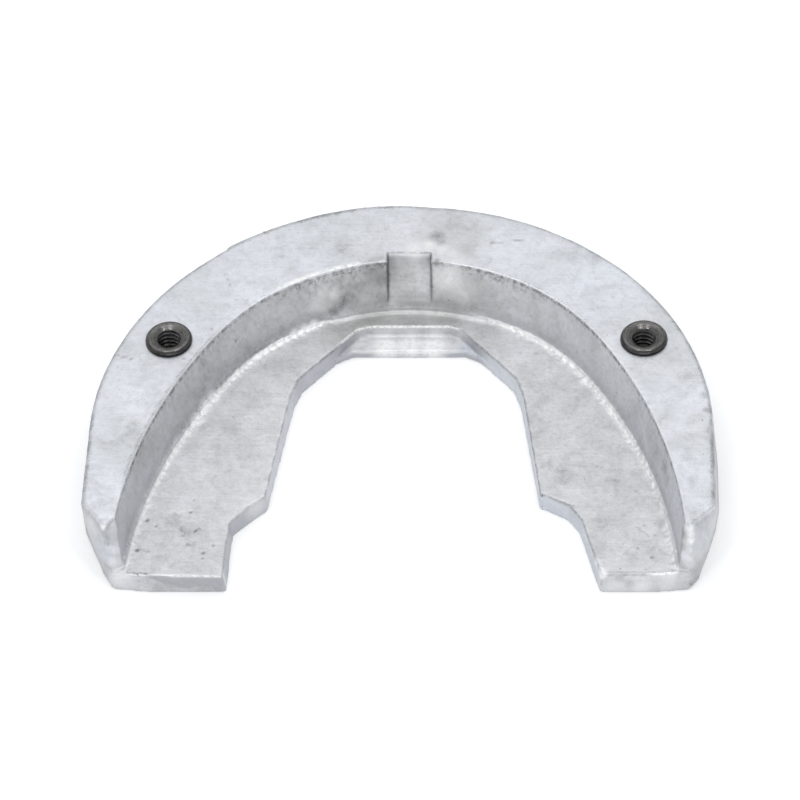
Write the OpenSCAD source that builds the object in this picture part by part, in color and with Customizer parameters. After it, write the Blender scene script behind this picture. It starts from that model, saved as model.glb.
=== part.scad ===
// Horseshoe anode: one light-alloy casting with a thin inner floor, a tall rim round its
// outside and two turned steel bushes cast into the rim.
// The origin is at the middle of the underside. X runs across the two legs, the open end
// faces -Y, and the mounting side with the bushes faces +Z.

/* [Casting] */
// Width over the two legs, at the foot of the rim
overall_w = 146; // [144:1:150]
// Depth from the leg ends to the back of the bow
overall_d = 108.6; // [106:0.2:112]
// Height of the rim
rim_h = 17; // [15:0.5:20]
// Thickness of the inner floor
floor_t = 5; // [4:0.5:7]
// How far the outer wall leans in from foot to top
outer_draft = 1.3; // [0.6:0.1:2]
// Rounding of the rim's outer edge, top and bottom
edge_r = 0.9; // [0.4:0.1:1.2]
// How far the pocket, the opening and the bushes sit right of the outline's middle
core_x = 0.5; // [0:0.1:1]

/* [Inner wall of the rim] */
// Radius of the bow's inner edge at the top of the rim
wall_r = 53; // [52:0.1:54]
// Radius of the long curve along each leg, at the top of the rim
leg_curve_r = 125; // [120:0.2:130]
// How far the inner wall leans in at the back of the bow
bow_draft = 4.3; // [3.5:0.1:5]
// How far the inner wall leans in along the legs
leg_draft = 2.1; // [1.5:0.1:3]
// Fillet where the inner wall meets the floor
root_r = 1.8; // [1:0.2:2.4]
// Width of the square notch in the back of the bow
notch_w = 10.4; // [8:0.2:14]
// Depth of the notch at the top of the rim
notch_d = 2.7; // [2:0.1:4]

/* [Opening between the legs] */
// Half width of the flat across the back of the opening
flat_half = 9.6; // [8:0.2:12]
// Distance from the arch centre to that flat, at floor level
flat_reach = 42.8; // [41:0.2:44.6]
// Half width of the opening at the shoulders
shoulder_half = 27.4; // [25:0.2:29]
// Half width of the opening where the legs step back
waist_half = 31.6; // [30:0.2:33]
// Half width of the mouth at the left leg
mouth_left = 40.4; // [39:0.2:44]
// Half width of the mouth at the right leg, where the edge slants out to the end
mouth_right = 45.8; // [42:0.2:48]
// How far the opening's walls lean in towards the underside
opening_draft = 0.8; // [0.4:0.1:1.2]
// Depth of the low ledge in front of the flat
ledge_d = 5.4; // [4:0.5:7]
// Thickness of the low ledge
ledge_t = 2.1; // [1.5:0.1:3]

/* [Bushes] */
// Distance between the two bushes
bush_pitch = 111; // [108:1:114]
// Distance from the arch centre forward to the line of the bushes
bush_y = 27; // [24:0.5:30]
// Diameter of the collar where it sits on the rim
collar_d = 11; // [10:0.2:12]
// Height of the collar above the rim
collar_h = 1.5; // [1.2:0.1:2]
// Width of the rounded lip round the collar
lip_w = 1.15; // [0.6:0.05:1.3]
// Depth of the funnel that leads into the threaded hole
funnel_d = 0.85; // [0.4:0.05:1.1]
// Diameter of the barrel inside the casting
barrel_d = 8.6; // [8:0.2:9]
// Length of the barrel below the rim's face
barrel_l = 12.5; // [12:0.5:14]
// Diameter of the threaded hole at its crests
thread_d = 5.1; // [4.6:0.1:5.6]
// Depth of the threaded hole from the collar's face
thread_l = 12; // [8:0.5:12]

/* [Hidden] */

$fn = 64;
SLICE = 0.01;
alloy = [0.80, 0.81, 0.84];
blackened_steel = [0.24, 0.24, 0.25];

// The bow of the outer wall is a half circle about this point
arch_y = overall_d / 2 - overall_w / 2;
front_y = -overall_d / 2;
foot_r = overall_w / 2;
top_r = foot_r - outer_draft;
past_front = front_y - 6;

// Outer corners of the leg ends, as steps in from the side and back from the front
foot_left = [[0, 21.6], [0.8, 17], [5.6, 4.9], [8, 0.9], [16, 0]];
foot_right = [[0, 23.6], [0.9, 17.4], [5, 3.3], [6.9, 0.7], [14, 0]];
top_left = [[0, 12.7], [5.9, 4.8], [7.6, 4.4]];
top_right = [[0, 11.2], [5.9, 5.3], [7.6, 5.2]];

// The left leg's front face stands nearly upright as far as the floor
left_pad = [[-foot_r + 22.6, front_y + 0.4], [-mouth_left, front_y + 0.2]];

// Slanted cuts off the inner corners of the wall's ends: ridge and wall, in the same steps
cut_left_top = [[7.4, 5.4], [9.8, 8.3]];
cut_left_low = [[8.1, 2.2], [12, 4.3]];
cut_right_top = [[7.1, 5.6], [8.7, 6.8]];
cut_right_low = [[7.2, 2.4], [10.8, 3.4]];

// Inner wall of the rim: a bow arc that runs into a longer arc down each leg
bow_angle = 57;
wall_low_r = wall_r - leg_draft + 0.7;
wall_low_y = arch_y - (bow_draft - leg_draft) - 0.7;
leg_curve_low_r = leg_curve_r + leg_draft;

// Notch: its back leans in until it runs out in the wall
notch_top_y = arch_y + wall_r + notch_d;
notch_mid_z = floor_t + 3;
notch_low_z = floor_t + 1.6;

flat_y = arch_y + flat_reach;
shoulder_y = arch_y + 20.6;
slant_top = [flat_half + 3, flat_y - 1.1];
slant_end = [shoulder_half - 1.7, shoulder_y + 5.6];
step_y = arch_y - 10.8;
hook_y = step_y - 3.4;
hook_in = 4.8;
elbow_y = step_y - 8.2;
mouth_flare = 4.6;

collar_r = collar_d / 2;
crown_r = collar_r - lip_w;
thread_r = thread_d / 2;

// Half circle of the bow, from the right leg round to the left
function bow(r) = [for (a = [0:3:180]) [r * cos(a), arch_y + r * sin(a)]];

// Outer outline: the bow and the outer corners of both leg ends
function outer_outline(r, left, right) = concat(
    bow(r),
    [for (p = left) [-(r - p[0]), front_y + p[1]]],
    [for (i = [len(right) - 1:-1:0]) [r - right[i][0], front_y + right[i][1]]]);

// One side of the inner wall: bow arc to bow_angle, then the leg's long arc to square
function wall_side(y, r, long_r) = let (
    cx = -(long_r - r) * sin(bow_angle),
    cy = y - (long_r - r) * cos(bow_angle),
    bow_steps = 16,
    leg_steps = 12) concat(
    [for (i = [0:bow_steps]) let (a = bow_angle * i / bow_steps) [r * sin(a), y + r * cos(a)]],
    [for (i = [1:leg_steps]) let (a = bow_angle + (90 - bow_angle) * i / leg_steps)
        [cx + long_r * sin(a), cy + long_r * cos(a)]]);

function wall_outline(y, r, long_r) = let (side = wall_side(y, r, long_r), n = len(side)) concat(
    side,
    [[side[n - 1][0], past_front], [-side[n - 1][0], past_front]],
    [for (i = [n - 1:-1:1]) [-side[i][0], side[i][1]]]);

module slice(z, points, height = SLICE) {
    translate([0, 0, z]) linear_extrude(height) polygon(points);
}

// The whole blank before its pocket and opening are taken out
module blank() {
    hull() {
        slice(0, outer_outline(foot_r - edge_r, foot_left, foot_right));
        slice(edge_r, outer_outline(foot_r, foot_left, foot_right));
        slice(floor_t - SLICE, concat(left_pad, [[0, arch_y]]));
        slice(rim_h - edge_r, outer_outline(top_r, top_left, top_right));
        slice(rim_h - 0.3 * edge_r, outer_outline(top_r - 0.3 * edge_r, top_left, top_right));
        slice(rim_h - SLICE, outer_outline(top_r - edge_r, top_left, top_right));
    }
}

// Everything above the floor, inside the rim, with the fillet at its root
module pocket() {
    hull() {
        for (a = [0:30:90])
            let (inset = root_r * (1 - sin(a)))
            slice(floor_t + root_r * (1 - cos(a)),
                wall_outline(wall_low_y, wall_low_r - inset, leg_curve_low_r - inset));
        slice(rim_h, wall_outline(arch_y, wall_r, leg_curve_r), 2);
    }
}

// Outline of a wall end's cut: its ridge-to-wall line run on outwards, and all in front
function end_cut(side, steps) = let (
    ridge = [side * (foot_r - steps[0][0]), front_y + steps[0][1]],
    wall = [side * (foot_r - steps[1][0]), front_y + steps[1][1]])
    [wall, [wall[0], past_front], ridge + 3 * (ridge - wall)];

module wall_end(side, top, low) {
    hull() {
        slice(floor_t, end_cut(side, low));
        slice(rim_h, end_cut(side, top));
    }
}

module notch() {
    rotate([90, 0, 90]) linear_extrude(notch_w, center = true)
        polygon([
            [arch_y, rim_h + 1],
            [notch_top_y, rim_h + 1],
            [notch_top_y, rim_h],
            [wall_low_y + wall_low_r + 1.4, notch_mid_z],
            [wall_low_y + wall_low_r - 0.5, notch_low_z],
            [arch_y, notch_low_z]]);
}

// X of the slanted side of the opening at a height y in plan, at floor level
function slant_x(y) = slant_top[0]
    + (slant_top[1] - y) * (slant_end[0] - slant_top[0]) / (slant_top[1] - slant_end[1]);

// Six-sided part of the opening, back_y being its flat; grow widens it towards the floor
function window(grow, back_y, corner_y) = let (
    corner_x = slant_x(corner_y),
    side = [
        [flat_half + 0.68 * (corner_x - slant_top[0]), back_y + 0.2 * grow],
        [corner_x + grow, corner_y + 0.6 * grow],
        [slant_end[0] + grow, slant_end[1] + 0.6 * grow],
        [shoulder_half + grow, shoulder_y],
        [waist_half + 0.4 * grow, step_y],
        [waist_half + 3.6 + 0.4 * grow, past_front]]) concat(
    side, [for (i = [len(side) - 1:-1:0]) [-side[i][0], side[i][1]]]);

// Mouth of the opening, below the step in each leg
function mouth(grow) = [
    [-waist_half, step_y + grow],
    [waist_half + 0.4, step_y + 0.7 + grow],
    [mouth_right - mouth_flare - 2.8 + grow, hook_y + 0.5 + 0.7 * grow],
    [mouth_right - mouth_flare + grow, elbow_y + 0.8],
    [mouth_right + grow, front_y],
    [mouth_right + 1.5 + grow, past_front],
    [-mouth_left - grow, past_front],
    [-mouth_left + 0.8 - grow, elbow_y],
    [-mouth_left + hook_in - grow, hook_y + 0.6 * grow]];

module opening() {
    low_back_y = flat_y - ledge_d;
    low_corner_y = low_back_y - 1.9;
    ledge_draft = -opening_draft * (1 - ledge_t / floor_t);
    hull() {
        slice(-1, window(-opening_draft, low_back_y, low_corner_y));
        slice(ledge_t, window(ledge_draft, low_back_y, low_corner_y));
    }
    hull() {
        slice(ledge_t, window(ledge_draft, flat_y, slant_top[1]));
        slice(floor_t, window(0, flat_y, slant_top[1]), rim_h);
    }
    hull() {
        slice(-1, mouth(-opening_draft));
        slice(floor_t, mouth(0), rim_h);
    }
}

// Outside of a bush below the rim's face: a barrel with a groove that locks it in
function barrel_profile() = [
    [0, -barrel_l], [barrel_d / 2 - 0.6, -barrel_l], [barrel_d / 2, -barrel_l + 0.6],
    [barrel_d / 2, -barrel_l + 4], [barrel_d / 2 - 0.7, -barrel_l + 4.7],
    [barrel_d / 2 - 0.7, -barrel_l + 6.3], [barrel_d / 2, -barrel_l + 7],
    [barrel_d / 2, 0]];

module at_bush(side) {
    translate([core_x + side * bush_pitch / 2, arch_y + bush_y, rim_h]) children();
}

module anode_body() {
    color(alloy) difference() {
        blank();
        translate([core_x, 0, 0]) {
            pocket();
            notch();
            opening();
        }
        wall_end(-1, cut_left_top, cut_left_low);
        wall_end(1, cut_right_top, cut_right_low);
        for (side = [-1, 1]) at_bush(side)
            rotate_extrude() polygon(concat(barrel_profile(), [[barrel_d / 2, 1], [0, 1]]));
    }
}

// Collar from its foot over the rounded lip and down the funnel into the threaded hole
function collar_profile() = let (lip_low = collar_h * 0.28) concat(
    [[collar_r - 0.15, 0], [collar_r, 0.15]],
    [for (a = [0:15:90]) [crown_r + lip_w * cos(a), lip_low + (collar_h - lip_low) * sin(a)]],
    [[crown_r - 0.2, collar_h - 0.04], [crown_r - 0.45, collar_h - 0.14],
    [thread_r, collar_h - funnel_d], [thread_r, collar_h - thread_l],
    [0, collar_h - thread_l - thread_r * 0.5]]);

// One turned bush: barrel, collar with a rounded lip, funnel and threaded hole
module bush() {
    color(blackened_steel) rotate_extrude() polygon(concat(barrel_profile(), collar_profile()));
}

module bush_left() {
    at_bush(-1) bush();
}

module bush_right() {
    at_bush(1) bush();
}

anode_body();
bush_left();
bush_right();
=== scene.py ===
"""Looks of the horseshoe anode: the rough casting, its two turned bushes and the studio."""

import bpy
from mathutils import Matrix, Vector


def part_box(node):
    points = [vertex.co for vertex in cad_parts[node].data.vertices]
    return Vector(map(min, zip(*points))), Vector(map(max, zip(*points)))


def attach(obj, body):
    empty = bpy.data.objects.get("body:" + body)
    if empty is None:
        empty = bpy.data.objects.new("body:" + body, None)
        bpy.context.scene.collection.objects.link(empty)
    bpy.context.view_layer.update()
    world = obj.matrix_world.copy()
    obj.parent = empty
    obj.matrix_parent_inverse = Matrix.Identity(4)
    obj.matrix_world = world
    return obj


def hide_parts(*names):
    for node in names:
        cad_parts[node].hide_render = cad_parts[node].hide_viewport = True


bl_info = {
    "name": "Horseshoe Anode",
    "version": (1, 0, 0),
    "blender": (4, 5, 0),
    "location": "3D View > Sidebar > Anode",
    "description": "Builds a cast horseshoe anode with two threaded bushes over its packed solids",
    "category": "Object",
}

import math

import bmesh
import bpy
from bpy.props import FloatProperty, FloatVectorProperty, IntProperty, PointerProperty
from mathutils import Matrix, Vector, noise
from mathutils.bvhtree import BVHTree
from mathutils.kdtree import KDTree

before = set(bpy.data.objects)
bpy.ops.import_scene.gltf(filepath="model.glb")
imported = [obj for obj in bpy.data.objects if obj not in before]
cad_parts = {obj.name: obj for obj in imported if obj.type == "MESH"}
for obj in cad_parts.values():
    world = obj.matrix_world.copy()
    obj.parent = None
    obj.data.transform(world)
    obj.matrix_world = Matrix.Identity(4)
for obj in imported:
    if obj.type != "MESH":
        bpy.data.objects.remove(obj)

MM = 0.001
BODY = "root"

# Places in millimetres, in the frame of the solids
BOW_Y = -18.7           # centre of the bow
CORE_X = 0.5            # middle line of the pocket, the opening and the bushes
BOW_ANGLE = math.radians(57)
TOP_EDGE = (BOW_Y, 53.0, 125.0)     # inner wall at the top: centre y, bow radius, leg radius
FOOT_EDGE = (-21.6, 51.6, 127.1)    # inner wall at the floor
RIM_Z = 17.0            # top of the rim
BUSH_PITCH = 111.0
BUSH_Y = 8.3
NOTCH_HALF = 5.2        # half the notch's width
NOTCH_Y = 37.05         # back of the notch at the top
THREAD_R = 2.55         # crest of the threads
THREAD_TOP = 0.86       # the threads start and end this far under a bush's top
THREAD_END = 11.6
THREAD_ROWS = 110       # rows of faces down the threads
LIP_R = 4.95            # the collar's lip is black outside this radius

# Sections of a bush, as radius and height: the barrel over its bottom, the collar over the rim's
# top, and the funnel over the bush's own top
BARREL = [(0.0, 0.0), (3.7, 0.0), (4.3, 0.6), (4.3, 4.0), (3.6, 4.7), (3.6, 6.3), (4.3, 7.0)]
COLLAR = [
    (4.3, -0.05), (5.32, -0.05), (5.5, 0.12), (5.5, 0.42), (5.42, 0.72), (5.26, 1.0), (5.04, 1.24),
    (4.8, 1.4), (4.55, 1.48)]
FUNNEL = [
    (4.35, 0.0), (4.15, -0.04), (3.9, -0.14), (3.5, -0.34), (3.1, -0.54), (2.85, -0.68), (2.68, -0.78)]

SHARP = math.radians(26)    # edges of the solid turned by more than this stay crisp
WELD = 0.001 * MM           # vertices of a solid closer than this are one
SKIN_WELD = 0.0005 * MM     # vertices of the finished skin closer than this are one

# What each vertex of the casting carries for the material: how much of each it shows
SHARES = ("bright", "soot", "stain", "dull_and_shade")

# Colours of places on the skin that differ from the rest: warm floor, cool outer wall and leg
# ends, the stain on the rim, painted shade on the faces of the opening and on the left leg's front face
WARM_TINT = (0.985, 0.968, 0.948)
COOL_TINT = (0.95, 0.965, 1.0)
STAIN_COLOUR = (0.47, 0.465, 0.45)
RIGHT_FACE_SHADE = (0.56, 0.59, 0.645)
LEFT_FACE_SHADE = (0.54, 0.55, 0.60)
LEFT_FACE_DEEP_SHADE = (0.41, 0.42, 0.45)
BACK_FACE_SHADE = (0.44, 0.45, 0.48)
SHADED_FACE = (0.40, 0.41, 0.43)

# Studio: paper floor and soft room, then the lamps, which all face the middle of the part, with
# their name, width and depth, place and watts
PAPER_COLOUR = (0.86, 0.86, 0.86)
PAPER_GLOW = 0.30
ROOM_COLOUR = (0.96, 0.98, 1.0)
ROOM_STRENGTH = 0.66
LAMPS = [
    ("overhead softbox", (1.0, 0.6), (-0.05, 0.45, 1.0), 1.8),
    ("side softbox", (0.5, 0.5), (-0.8, -0.2, 0.7), 0.5),
    ("front softbox", (0.7, 0.3), (0.1, -1.0, 0.35), 1.1),
    ("left strip", (0.09, 0.32), (-0.22, -0.22, 1.0), 0.85),
    ("right strip", (0.09, 0.32), (0.29, -0.18, 1.0), 0.85),
]


def smooth(low, high, value):
    """0 below low, 1 above high, with an even ramp between them."""
    t = min(max((value - low) / (high - low), 0.0), 1.0)
    return t * t * (3 - 2 * t)


def wall_gap(p, edge):
    """Distance in plan from a curve of the inner wall: more than 0 on the rim's side."""
    centre_y, bow_r, leg_r = edge
    x, y = abs(p.x - CORE_X), p.y - centre_y
    if math.atan2(x, y) <= BOW_ANGLE:
        return math.hypot(x, y) - bow_r
    x += (leg_r - bow_r) * math.sin(BOW_ANGLE)
    y += (leg_r - bow_r) * math.cos(BOW_ANGLE)
    return math.hypot(x, y) - leg_r


def dab(p, dabs):
    """Strongest of some soft round spots at a point. A spot is x, y, z, radius, strength."""
    best = 0.0
    for x, y, z, radius, strength in dabs:
        gap = ((p.x - x) ** 2 + (p.y - y) ** 2 + (p.z - z) ** 2) / (radius * radius)
        if gap < 1:
            best = max(best, strength * (1 - gap) ** 1.5)
    return best


# Pits in the skin: x, y, z, radius, depth
PITS = [
    (-57.9, -36.9, 5.0, 0.6, 0.30), (-55.7, -38.7, 5.0, 0.45, 0.22), (-59.6, -45.9, 5.0, 0.6, 0.35),
    (-48.0, -34.5, 5.0, 0.45, 0.25), (-47.6, -30.8, 5.0, 0.4, 0.2), (-49.4, -41.4, 5.0, 0.5, 0.22),
    (-42.3, -44.4, 5.0, 0.5, 0.25), (-44.5, -46.8, 5.0, 0.55, 0.3), (-44.4, -48.3, 5.0, 0.45, 0.25),
    (-65.1, -49.9, 11.4, 0.6, 0.32), (55.9, -38.4, 5.0, 0.45, 0.2), (58.2, -41.4, 5.0, 0.4, 0.18),
    (54.3, -45.3, 5.0, 0.45, 0.2), (57.4, -48.0, 5.0, 0.5, 0.25), (-39.9, 13.1, 11.8, 0.5, 0.25),
    (-40.6, 13.0, 12.7, 0.4, 0.2), (6.4, 34.0, 16.6, 0.8, 0.4), (8.1, 33.7, 16.6, 0.7, 0.35),
    (-47.1, 3.6, 14.6, 0.5, 0.2), (-9.1, 33.3, 16.4, 0.55, 0.3), (-11.1, 32.3, 15.6, 0.5, 0.25),
]
# The dark spot in each pit: x, y, z, radius, strength
PIT_SPOTS = [(x, y, z, 1.1 * radius, min(2.6 * depth, 1.0)) for x, y, z, radius, depth in PITS]
# Dark places: the rubbed diagonal on the left of the bow, the smudge and stain on the rim
SOOT = [
    (-17.5, 27.0, 7.1, 2.0, 0.6), (-16.1, 27.9, 8.2, 2.0, 0.72), (-14.9, 28.8, 9.3, 1.9, 0.72),
    (-14.1, 29.5, 10.2, 1.8, 0.5), (-13.2, 29.3, 9.4, 3.0, 0.3), (-11.3, 31.0, 12.2, 3.4, 0.3),
    (-8.8, 32.6, 14.9, 3.2, 0.3),
    (-5.8, 32.1, 12.7, 3.0, 0.35), (-5.9, 30.2, 7.9, 3.2, 0.35), (7.0, 42.2, 17.0, 2.6, 0.6),
    (7.7, 40.7, 17.0, 2.0, 0.5), (7.1, 33.9, 16.6, 1.6, 0.9), (15.3, 29.1, 7.6, 3.0, 0.3),
    (-23.5, 38.2, 17.3, 3.5, 0.14), (-16.5, 38.0, 17.3, 3.5, 0.2), (-30.0, 38.2, 17.3, 3.5, 0.1),
    (58.3, -25.5, 5.8, 3.0, 0.25), (59.9, -31.5, 5.7, 3.0, 0.3), (60.5, -37.1, 5.2, 3.0, 0.25),
    (-47.1, 3.6, 14.6, 2.5, 0.25), (-46.4, 2.9, 10.5, 3.0, 0.25), (-47.1, 0.0, 8.2, 2.5, 0.25),
    (33.8, -20.1, 5.0, 2.6, 0.22), (36.5, -21.7, 5.0, 2.6, 0.25), (37.7, -24.7, 5.0, 2.8, 0.22),
    (-51.5, -38.0, 5.0, 3.6, 0.2), (-49.0, -40.5, 5.0, 3.0, 0.22), (58.6, -17.0, 12.0, 4.0, 0.2),
    (60.0, -22.0, 12.0, 4.0, 0.25), (47.0, -38.0, 5.0, 4.0, 0.18), (52.5, -48.0, 5.0, 2.4, 0.2),
    (69.8, -9.3, 17.0, 1.4, 0.5), (70.6, -14.0, 16.6, 1.6, 0.5), (70.6, -20.0, 16.6, 1.4, 0.4),
    (71.0, -33.0, 16.4, 1.2, 0.5), (61.5, 17.3, 17.0, 1.2, 0.3), (45.0, 35.4, 17.0, 1.6, 0.3),
    (59.9, -27.7, 12.6, 3.0, 0.45), (60.4, -30.4, 11.3, 2.6, 0.35),
    (52.5, -54.0, 2.6, 1.6, 0.4), (50.0, -53.8, 4.2, 1.8, 0.4),
]
STAIN = [(10.0, 44.8, 17.0, 10.5, 0.9), (13.0, 39.3, 17.0, 7.0, 0.7), (9.5, 50.8, 17.0, 8.0, 0.8)]
# Grey places, partly dull metal and partly painted shade: the floor in front of the bow, the wall's
# foot there, the legs' sides
DULL_AND_SHADE = [
    (0.5, 26.0, 5.0, 9.0, 0.8), (-8.0, 25.5, 5.0, 9.0, 0.8), (9.0, 25.5, 5.0, 9.0, 0.8),
    (-17.0, 22.5, 5.0, 8.0, 0.5), (17.5, 22.5, 5.0, 8.0, 0.45),
    (0.5, 30.0, 7.0, 5.0, 0.45), (-8.0, 29.0, 7.0, 5.5, 0.5), (9.0, 29.0, 7.0, 5.5, 0.4),
    (-15.0, 29.0, 11.0, 8.0, 0.3), (18.0, 28.0, 9.0, 7.0, 0.25), (-64.0, -25.0, 17.0, 10.0, 0.4),
    (-6.5, 33.0, 13.0, 6.0, 0.9), (-7.0, 31.5, 9.0, 5.5, 0.6), (0.5, 36.8, 13.0, 6.0, 0.1),
    (-64.0, -48.5, 12.0, 3.0, 0.3), (-63.5, -50.5, 8.0, 2.5, 0.25), (64.4, -48.3, 13.2, 2.2, 0.9),
    (64.0, -49.3, 10.5, 2.2, 0.6),
]
# Bright places: rubbed metal on the rim, lumps along the foot of the wall, and painted highlights on
# the ridges and front faces of the leg ends
BRIGHT = [
    (2.1, 38.2, 17.0, 3.4, 0.7), (5.3, 39.3, 17.0, 3.0, 0.8), (8.1, 38.1, 17.0, 2.6, 0.6),
    (10.7, 36.8, 17.0, 2.4, 0.5), (-26.7, 21.4, 5.4, 1.8, 1.0), (-24.4, 22.9, 5.5, 1.8, 1.0),
    (-22.3, 24.3, 5.8, 1.8, 0.9), (42.3, 6.2, 5.1, 1.8, 1.0), (48.6, -3.5, 5.2, 1.8, 1.0),
    (-45.1, 0.9, 5.4, 2.4, 1.0), (-46.8, -1.6, 5.4, 2.4, 1.0), (-48.1, -5.7, 5.2, 2.4, 1.0),
    (45.9, -52.8, 5.0, 2.2, 1.0), (44.6, -49.2, 4.6, 1.6, 0.7),
    (10.0, 33.0, 13.5, 6.0, 0.6), (13.0, 31.5, 11.0, 6.0, 0.3), (-17.5, 28.6, 11.5, 2.2, 0.5),
    (-19.7, 28.2, 12.2, 3.0, 0.35), (-21.0, 26.7, 10.0, 3.5, 0.3), (-33.5, -31.5, 3.0, 4.0, 0.35),
    (0.5, 21.0, 2.0, 5.0, 1.0), (-5.0, 20.5, 2.0, 5.0, 1.0), (6.0, 20.5, 2.0, 5.0, 1.0),
    (-66.0, -48.5, 16.0, 1.4, 1.0), (-65.0, -50.5, 11.0, 1.6, 0.45), (-64.6, -51.5, 7.0, 1.6, 0.45),
    (66.0, -49.0, 15.5, 1.6, 1.0), (66.1, -49.4, 14.0, 1.6, 1.0), (66.2, -49.8, 12.5, 1.6, 1.0),
    (66.0, -50.8, 10.0, 1.3, 0.6),
    (70.0, -43.0, 9.0, 8.0, 0.3), (-70.0, -43.0, 10.0, 7.0, 0.3), (-69.8, -46.0, 13.0, 4.0, 0.45),
    (68.0, -49.5, 8.0, 5.0, 0.3),
    (49.0, -54.2, 2.0, 4.5, 0.35), (55.0, -54.2, 2.5, 5.0, 0.4), (61.0, -54.0, 3.0, 5.0, 0.35),
    (-63.0, -53.5, 2.5, 5.0, 0.3), (-57.0, -54.2, 1.2, 2.6, 0.3),
]
# Scratches: from x, y to x, y at z, half width, strength
SCRATCHES = [
    (19.7, 40.1, 28.0, 41.1, 17.0, 0.30, 0.45), (19.9, 40.1, 19.5, 37.8, 17.0, 0.25, 0.35),
    (19.5, 37.8, 20.0, 33.8, 17.0, 0.25, 0.25), (-45.7, 13.3, -44.9, 11.7, 17.0, 0.30, 0.35),
    (-66.7, 3.8, -62.6, 2.1, 17.0, 0.30, 0.40), (-43.0, 30.0, -41.5, 26.0, 17.0, 0.30, 0.30),
    (-38.0, 22.5, -36.8, 19.5, 17.0, 0.30, 0.25), (-59.0, -45.6, -56.6, -46.8, 5.0, 0.35, 0.35),
    (-58.4, -48.2, -54.0, -48.4, 5.0, 0.30, 0.35), (-52.0, -34.5, -50.6, -36.0, 5.0, 0.35, 0.4),
    (-46.6, -40.4, -45.2, -39.2, 5.0, 0.30, 0.8), (-48.4, -44.4, -46.6, -44.0, 5.0, 0.30, 0.9),
    (-48.3, -46.2, -46.8, -46.1, 5.0, 0.25, 0.5), (-50.6, -39.2, -48.8, -41.0, 5.0, 0.35, 0.6),
    (43.5, -24.5, 50.0, -24.9, 5.0, 0.25, 0.3), (36.0, -31.0, 40.0, -32.8, 5.0, 0.30, 0.4),
    (54.0, -39.0, 57.0, -42.0, 5.0, 0.30, 0.35), (-61.5, -19.0, -60.0, -25.0, 17.0, 0.25, 0.2),
]


def torn_lip(p, bow_angle):
    """Raised and broken metal along the rim's inner edge, worst on the left of the bow."""
    gap = wall_gap(p, TOP_EDGE)
    if p.z <= 12.5 or not -2.5 < gap < 1.2:
        return 0.0
    torn = smooth(-36, -28, bow_angle) * (1 - smooth(-13, -10, bow_angle))
    ragged = noise.noise(p / 0.9 + Vector((11, 2, 60)))
    lip = 1 - smooth(0.2, 0.9, abs(gap))
    bitten = torn * 0.35 * smooth(0.15, 0.5, -gap) * smooth(0.0, 0.35, ragged)
    return lip * (0.06 + 0.3 * torn) * ragged - bitten


def foot_lumps(p, bow_angle):
    """Lumpy metal along the foot of the wall, none of it in the middle of the bow."""
    gap = wall_gap(p, FOOT_EDGE)
    if not 4.7 < p.z < 7.2 or not -3.2 < gap < 0.6:
        return 0.0
    lumps = noise.noise(p + Vector((71, 12, 8)))
    band = 1 - smooth(0.5, 1.5, abs(gap + 1.2))
    return band * 0.22 * (lumps + 0.2) * smooth(12, 26, abs(bow_angle))


def gate_scar(p, up):
    """Scar of the sawn gate on the back of the rim."""
    if p.z <= 9:
        return 0.0
    line = 36.9 - 0.03 * (p.x + 12)
    scar = smooth(-43.5, -42.1, p.x) * (1 - smooth(-13.5, 6.0, p.x)) * smooth(-0.3, 0.7, p.y - line)
    return scar * (0.22 * up + 0.75 * (1 - up)) * smooth(9.0, 15.0, p.z)


def pitting(p):
    """Pits, each with a low raised edge round it."""
    shift = 0.0
    for x, y, z, radius, depth in PITS:
        gap = math.sqrt((p.x - x) ** 2 + (p.y - y) ** 2 + (p.z - z) ** 2) / radius
        if gap < 1.5:
            shift -= depth * (1 - smooth(0.2, 1.0, gap))
            shift += 0.15 * depth * smooth(0.8, 1.1, gap) * (1 - smooth(1.1, 1.5, gap))
    return shift


def skin_shift(p, up, relief):
    """How far the skin moves along its normal at a point, in millimetres."""
    uneven = (0.8 * noise.noise(p / 14.0)
              + 0.4 * noise.noise(p / 5.0 + Vector((31, 7, 3)))
              + 0.3 * noise.noise(p / 1.9 + Vector((5, 41, 9))))
    bow_angle = math.degrees(math.atan2(p.x, p.y - BOW_Y))
    return (relief * uneven + torn_lip(p, bow_angle) + foot_lumps(p, bow_angle)
            + gate_scar(p, up) + pitting(p))


def scratch(p):
    """Strongest of the scratches at a point."""
    best = 0.0
    for x, y, end_x, end_y, z, width, strength in SCRATCHES:
        if abs(p.z - z) < 0.8:
            run_x, run_y = end_x - x, end_y - y
            share = ((p.x - x) * run_x + (p.y - y) * run_y) / (run_x ** 2 + run_y ** 2)
            share = min(max(share, 0.0), 1.0)
            gap = math.hypot(p.x - x - share * run_x, p.y - y - share * run_y)
            best = max(best, strength * (1 - smooth(0.3 * width, width, gap)))
    return best


def paint(p):
    """Bright, sooty, stained and dull shares of the skin at a point; the bright share holds painted
    highlights and the dull share painted shade in places.
    """
    soot = max(dab(p, SOOT), dab(p, PIT_SPOTS), scratch(p))
    return dab(p, BRIGHT), soot, dab(p, STAIN), dab(p, DULL_AND_SHADE)


# Bright band along the foot of the wall, partly burnished metal and partly painted highlight, from the
# left leg's end round the bow to the right leg's.
# Each point is an angle about the bow's centre, in degrees, and how far in from the wall's foot
# curve the band starts (the first list) and ends (the second), in millimetres
FOOT_BAND_TOP = [
    (-120, 0.85), (-73, 0.85), (-49, 0.6), (-41, 0.53), (-33, 0.4), (-27, 0.3), (-20, 0.8), (18, 0.8),
    (22, 0.3), (116, 0.3)]
FOOT_BAND_LOW = [
    (-120, 1.4), (-100, 1.6), (-96, 1.84), (-88, 2.2), (-82, 2.4), (-75, 2.6), (-69, 2.6), (-57, 2.25),
    (-45, 2.97), (-38, 2.2), (-31, 1.3), (-24, 0.8), (-18, 2.2), (18, 2.2), (22, 0.95), (30, 1.1),
    (50, 1.35), (74, 1.85), (91, 1.1), (116, 1.3)]
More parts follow.
